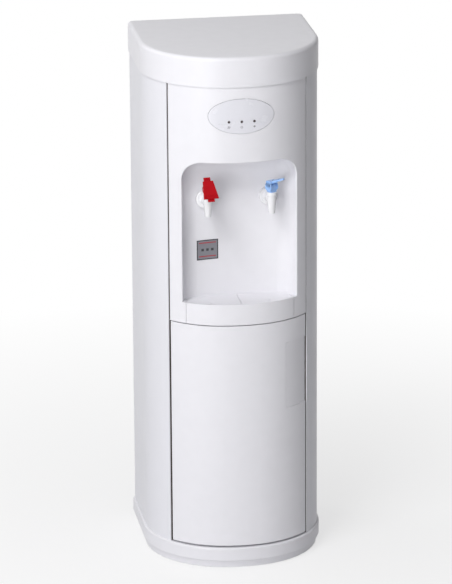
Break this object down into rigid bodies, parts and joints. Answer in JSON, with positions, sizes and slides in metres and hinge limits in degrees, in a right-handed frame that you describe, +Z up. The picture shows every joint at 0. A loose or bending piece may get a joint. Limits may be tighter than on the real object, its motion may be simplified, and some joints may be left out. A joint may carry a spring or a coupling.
{
  "type": "bottom load water cooler",
  "caption": "Free-standing hot and cold water cooler with a D-shaped body, a niche with lever taps and a drip tray, and a hinged lower door over the bottle bay.",
  "frame": {"origin": "centre of the footprint, on the floor", "axes": "+Z up; the front with the taps faces -Y; +X is the door's grip side and the cold tap"},
  "size_m": [0.36, 0.34, 1.06],
  "materials": {
    "shell_plastic": "satin white moulding",
    "side_paint": "satin white powder coat",
    "plinth_plastic": "satin white moulding",
    "door_plastic": "satin white moulding",
    "liner_plastic": "matt light grey moulding",
    "slot_trim": "dark brown matt",
    "badge_plastic": "pale satin",
    "lamp_lens": "dark clear lens",
    "circuit_board": "green solder mask",
    "zinc_steel": "zinc-plated sheet",
    "stainless": "drawn stainless",
    "foam": "moulded foam",
    "black_paint": "black baked paint",
    "condenser_paint": "black baked paint",
    "black_rubber": "matt rubber",
    "pump_plastic": "dark grey moulding",
    "hose_plastic": "milky food-grade hose",
    "tap_white": "bright white moulding",
    "hot_red": "bright red moulding",
    "cold_blue": "light blue moulding",
    "white_silicone": "pale silicone",
    "brass_nut": "turned brass",
    "pin_steel": "ground pin",
    "bush_nylon": "natural nylon",
    "magnet_black": "dark holder",
    "rocker_red": "red rocker",
    "rocker_green": "green rocker",
    "fitting_black": "black moulding"
  },
  "bodies": {
    "cabinet": {"base_plinth": "plinth_plastic", "feet": "black_rubber", "left_side_panel": "side_paint", "right_side_panel": "side_paint", "back_panel": "side_paint", "panel_screws": "pin_steel", "top_cap": "shell_plastic", "upper_fascia": "shell_plastic", "indicator_badge": "badge_plastic", "lamp_hot": "lamp_lens", "lamp_power": "lamp_lens", "lamp_cold": "lamp_lens", "control_board": "circuit_board", "divider_shelf": "zinc_steel", "bay_liner": "liner_plastic", "bay_floor": "liner_plastic", "edge_trims": "slot_trim", "door_catch": "magnet_black", "hinge_pins": "pin_steel", "hot_tap_body": "tap_white", "cold_tap_body": "tap_white", "tap_gaskets": "white_silicone", "tap_nuts": "brass_nut", "hot_tap_bonnet": "tap_white", "cold_tap_bonnet": "cold_blue", "tank_shelf": "zinc_steel", "cold_tank": "stainless", "cold_tank_foam": "foam", "hot_tank": "stainless", "hot_tank_jacket": "foam", "cold_line": "hose_plastic", "hot_line": "hose_plastic", "compressor": "black_paint", "compressor_mounts": "black_rubber", "condenser": "condenser_paint", "water_pump": "pump_plastic", "pump_lines": "hose_plastic", "bay_inlet": "liner_plastic", "probe_hose": "hose_plastic", "probe_hanger": "liner_plastic", "mains_gland": "fitting_black", "drain_spigot": "tap_white", "switch_bezel": "fitting_black"},
    "door": {"door_panel": "door_plastic", "door_liner": "liner_plastic", "door_grip": "door_plastic", "door_strike": "zinc_steel", "hinge_bushes": "bush_nylon"},
    "tray": {"drip_tray": "shell_plastic"},
    "left_tray_cover": {"left_tray_cover": "shell_plastic"},
    "right_tray_cover": {"right_tray_cover": "shell_plastic"},
    "cold_lever": {"cold_lever": "cold_blue"},
    "cold_stem": {"cold_stem": "white_silicone"},
    "hot_lever": {"hot_lever": "hot_red"},
    "hot_lock": {"hot_lock": "hot_red"},
    "hot_stem": {"hot_stem": "white_silicone"},
    "probe": {"probe": "hose_plastic"},
    "rocker_hot": {"rocker_hot": "rocker_red"},
    "rocker_cold": {"rocker_cold": "rocker_green"},
    "drain_cap": {"drain_cap": "fitting_black"}
  },
  "joints": [
    {"name": "door_hinge", "type": "hinge", "parent": "cabinet", "child": "door", "pos_m": [-0.12475, -0.10812, 0.28], "axis": [0, 0, -1], "range_deg": [0, 105]},
    {"name": "tray_slide", "type": "slide", "parent": "cabinet", "child": "tray", "axis": [0, -1, 0], "range_m": [0, 0.15]},
    {"name": "left_cover_lift", "type": "slide", "parent": "tray", "child": "left_tray_cover", "axis": [0, 0, 1], "range_m": [0, 0.04]},
    {"name": "right_cover_lift", "type": "slide", "parent": "tray", "child": "right_tray_cover", "axis": [0, 0, 1], "range_m": [0, 0.04]},
    {"name": "cold_lever_turn", "type": "hinge", "parent": "cabinet", "child": "cold_lever", "pos_m": [0.0635, -0.137, 0.788], "axis": [0.848, 0.5299, 0], "range_deg": [0, 20], "stiffness_Nm_per_rad": 0.3, "springref_deg": -11.46},
    {"name": "cold_stem_lift", "type": "slide", "parent": "cabinet", "child": "cold_stem", "axis": [0, 0, 1], "range_m": [0, 0.003]},
    {"name": "hot_lever_turn", "type": "hinge", "parent": "cabinet", "child": "hot_lever", "pos_m": [-0.0635, -0.137, 0.788], "axis": [0.9903, 0.1392, 0], "range_deg": [0, 20], "stiffness_Nm_per_rad": 0.3, "springref_deg": -11.46},
    {"name": "hot_stem_lift", "type": "slide", "parent": "cabinet", "child": "hot_stem", "axis": [0, 0, 1], "range_m": [0, 0.003]},
    {"name": "hot_lock_slide", "type": "slide", "parent": "hot_lever", "child": "hot_lock", "axis": [0.0895, -0.6365, -0.766], "range_m": [0, 0.004], "stiffness_N_per_m": 120, "springref_m": -0.004},
    {"name": "probe_lift", "type": "slide", "parent": "cabinet", "child": "probe", "axis": [0, 0, 1], "range_m": [0, 0.022], "deforming": ["probe_hose"]},
    {"name": "rocker_hot_tip", "type": "hinge", "parent": "cabinet", "child": "rocker_hot", "pos_m": [-0.112, 0.1375, 0.47], "axis": [1, 0, 0], "range_deg": [-8, 8]},
    {"name": "rocker_cold_tip", "type": "hinge", "parent": "cabinet", "child": "rocker_cold", "pos_m": [-0.088, 0.1375, 0.47], "axis": [1, 0, 0], "range_deg": [-8, 8]},
    {"name": "drain_cap_pull", "type": "slide", "parent": "cabinet", "child": "drain_cap", "axis": [0, 1, 0], "range_m": [0, 0.02]}
  ],
  "couplings": [
    {"joint": "cold_stem_lift", "follows": "cold_lever_turn", "m_per_rad": 0.0085},
    {"joint": "hot_stem_lift", "follows": "hot_lever_turn", "m_per_rad": 0.0085}
  ]
}
